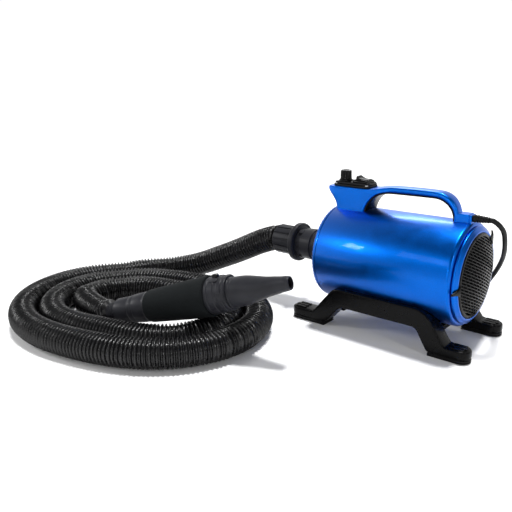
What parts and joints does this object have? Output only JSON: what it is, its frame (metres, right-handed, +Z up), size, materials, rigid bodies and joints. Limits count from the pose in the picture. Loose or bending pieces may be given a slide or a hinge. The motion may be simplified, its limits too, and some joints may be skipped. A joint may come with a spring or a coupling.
{
  "type": "pet grooming dryer",
  "caption": "Drum-shaped blue pet dryer on skid rails, with a carry handle, controls, corrugated hose, foam-gripped wand with a conical nozzle, and a mains lead.",
  "frame": {"origin": "on the floor, under the middle of the box round the blower and its wand, the hose and mains lead left out", "axes": "+X along the drum from the hose outlet to the air intake, +Y to the side away from the hose coil, +Z up"},
  "size_m": [0.7974, 0.7, 0.2656],
  "materials": {
    "painted_shell": "gloss metallic blue lacquer over sheet metal and moulded handle",
    "black_plastic": "satin black moulded plastic, fine texture",
    "gloss_black": "glossy black control parts",
    "grey_plastic": "dark grey moulded plastic",
    "hose_plastic": "black corrugated hose, satin ridges",
    "rubber": "black rubber, matte",
    "foam": "dark open-cell foam",
    "steel": "steel",
    "aluminium": "cast and spun aluminium",
    "copper": "copper windings and segments",
    "carbon": "pressed carbon, dull grey",
    "board": "green circuit board",
    "brass": "brass"
  },
  "bodies": {
    "blower": {"body_shell": "painted_shell", "rear_cover": "painted_shell", "front_rim": "painted_shell", "fan_housing": "steel", "front_motor_mount": "rubber", "diffuser": "aluminium", "motor_bracket_front": "aluminium", "stator": "steel", "bearing_front": "steel", "bearing_rear": "steel", "motor_frame": "aluminium", "brush_holder_1": "brass", "brush_holder_2": "brass", "carbon_brush_1": "carbon", "carbon_brush_2": "carbon", "rear_motor_mount": "rubber", "acoustic_liner": "foam", "outlet_port": "grey_plastic", "handle_shell": "painted_shell", "handle_liner": "black_plastic", "control_panel": "gloss_black", "speed_potentiometer": "steel", "panel_screw_1": "steel", "panel_screw_2": "steel", "panel_screw_3": "steel", "panel_screw_4": "steel", "switch_housing": "gloss_black", "control_board": "board", "strain_relief": "rubber", "mains_lead": "rubber", "mains_coil": "rubber", "plug_body": "rubber", "plug_blade_1": "brass", "plug_blade_2": "brass", "rail_front": "black_plastic", "rail_back": "black_plastic", "foot_pad_front_nose": "rubber", "foot_pad_front_tail": "rubber", "foot_pad_back_nose": "rubber", "foot_pad_back_tail": "rubber", "cross_brace_1": "black_plastic", "cross_brace_2": "black_plastic", "air_hose": "hose_plastic", "hose_cuff": "grey_plastic", "grip_tube": "grey_plastic", "grip_sleeve": "foam", "latch_collar": "grey_plastic"},
    "rotor": {"shaft": "steel", "armature": "copper", "commutator": "copper", "impeller_front": "aluminium", "impeller_rear": "aluminium"},
    "knob": {"speed_knob": "gloss_black"},
    "rocker": {"switch_rocker": "gloss_black"},
    "collar": {"hose_collar": "grey_plastic"},
    "intake": {"intake_grille": "black_plastic", "filter_foam": "foam"},
    "nozzle": {"nozzle": "grey_plastic"},
    "latch": {"latch_button": "gloss_black"}
  },
  "joints": [
    {"name": "rotor_spin", "type": "hinge", "parent": "blower", "child": "rotor", "pos_m": [0.1171, 0.1287, 0.118], "axis": [1, 0, 0], "continuous": true},
    {"name": "knob_turn", "type": "hinge", "parent": "blower", "child": "knob", "pos_m": [0.0026, 0.1287, 0.2393], "axis": [0, 0, 1], "range_deg": [0, 270]},
    {"name": "rocker_tip", "type": "hinge", "parent": "blower", "child": "rocker", "pos_m": [0.0381, 0.1287, 0.2496], "axis": [0, -1, 0], "range_deg": [0, 26]},
    {"name": "collar_twist", "type": "hinge", "parent": "blower", "child": "collar", "pos_m": [-0.1194, 0.1287, 0.118], "axis": [1, 0, 0], "range_deg": [0, 30]},
    {"name": "intake_pull", "type": "slide", "parent": "blower", "child": "intake", "axis": [1, 0, 0], "range_m": [0, 0.01]},
    {"name": "nozzle_pull", "type": "slide", "parent": "blower", "child": "nozzle", "axis": [0.9213, 0.2713, 0.2787], "range_m": [0, 0.04]},
    {"name": "latch_press", "type": "slide", "parent": "blower", "child": "latch", "axis": [0.2673, 0.0787, -0.9604], "range_m": [0, 0.002], "stiffness_N_per_m": 400, "springref_m": -0.001}
  ]
}
